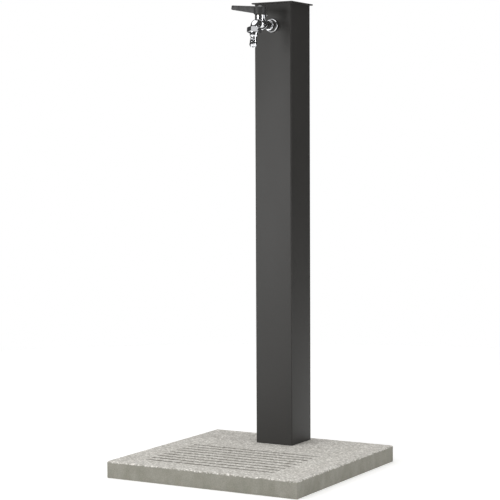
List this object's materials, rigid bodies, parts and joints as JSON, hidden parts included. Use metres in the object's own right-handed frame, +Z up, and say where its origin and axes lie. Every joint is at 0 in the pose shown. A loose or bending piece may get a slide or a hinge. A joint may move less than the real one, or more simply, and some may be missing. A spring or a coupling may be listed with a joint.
{
  "type": "garden tap column",
  "caption": "Square free-standing water column with a quarter-turn lever tap and quick-connect hose nipple near its top, on a grooved concrete slab.",
  "frame": {"origin": "middle of the slab's underside, on the ground", "axes": "+Z up; -Y is the side where the tap stands out; +X is to the right for someone who looks along +Y at the tap"},
  "size_m": [0.5, 0.5, 1.118],
  "materials": {
    "concrete": "cast concrete, fine and slightly rough, with eased edges",
    "powder_coated_aluminium": "anthracite powder coat on aluminium, fine matt texture",
    "galvanised_steel": "zinc plated, dull",
    "stainless_steel": "A2 stainless, satin",
    "chrome_plate": "polished chrome on brass",
    "brass": "machined brass",
    "lever_plastic": "dark glass-filled nylon, fine spark texture",
    "cap_plastic": "grey moulded plastic",
    "insert_plastic": "black moulded plastic",
    "seal_rubber": "black EPDM",
    "seat_plastic": "white PTFE"
  },
  "bodies": {
    "column": {"base_slab": "concrete", "anchor_sleeves": "galvanised_steel", "anchor_washers": "galvanised_steel", "anchor_bolts": "galvanised_steel", "foot_bracket": "galvanised_steel", "foot_nuts": "galvanised_steel", "column_tube": "powder_coated_aluminium", "column_screws": "stainless_steel", "top_cap": "powder_coated_aluminium", "cap_insert": "insert_plastic", "cap_screws": "stainless_steel", "tap_bracket": "galvanised_steel", "bracket_nuts": "galvanised_steel", "bracket_screws": "stainless_steel", "wall_elbow": "brass", "elbow_screws": "galvanised_steel", "riser_pipe": "galvanised_steel", "feed_coupling": "brass", "pipe_grommet": "seal_rubber", "rosette_gasket": "seal_rubber", "rosette": "chrome_plate", "inlet_tail": "chrome_plate", "valve_body": "chrome_plate", "inner_seat": "seat_plastic", "outer_seat": "seat_plastic", "packing_ring": "seat_plastic", "gland_nut": "brass"},
    "lever": {"lever_handle": "lever_plastic", "handle_screw": "stainless_steel", "lever_cap": "cap_plastic", "valve_stem": "brass", "stem_o_rings": "seal_rubber", "valve_ball": "chrome_plate"},
    "connector": {"hose_nipple": "chrome_plate", "nipple_o_ring": "seal_rubber", "sealing_washer": "seal_rubber"},
    "nut": {"union_nut": "chrome_plate"}
  },
  "joints": [
    {"name": "lever_turn", "type": "hinge", "parent": "column", "child": "lever", "pos_m": [-0.013, 0.063, 1.061], "axis": [0, 0, 1], "range_deg": [0, 90]},
    {"name": "connector_slide", "type": "slide", "parent": "column", "child": "connector", "axis": [0, -0.1392, -0.9903], "range_m": [0, 0.0063]},
    {"name": "nut_turn", "type": "hinge", "parent": "connector", "child": "nut", "pos_m": [-0.013, 0.03463, 1.04417], "axis": [0, -0.1392, -0.9903], "range_deg": [0, 1260]}
  ],
  "couplings": [
    {"joint": "nut_turn", "follows": "connector_slide", "rad_per_m": 3463.7}
  ]
}
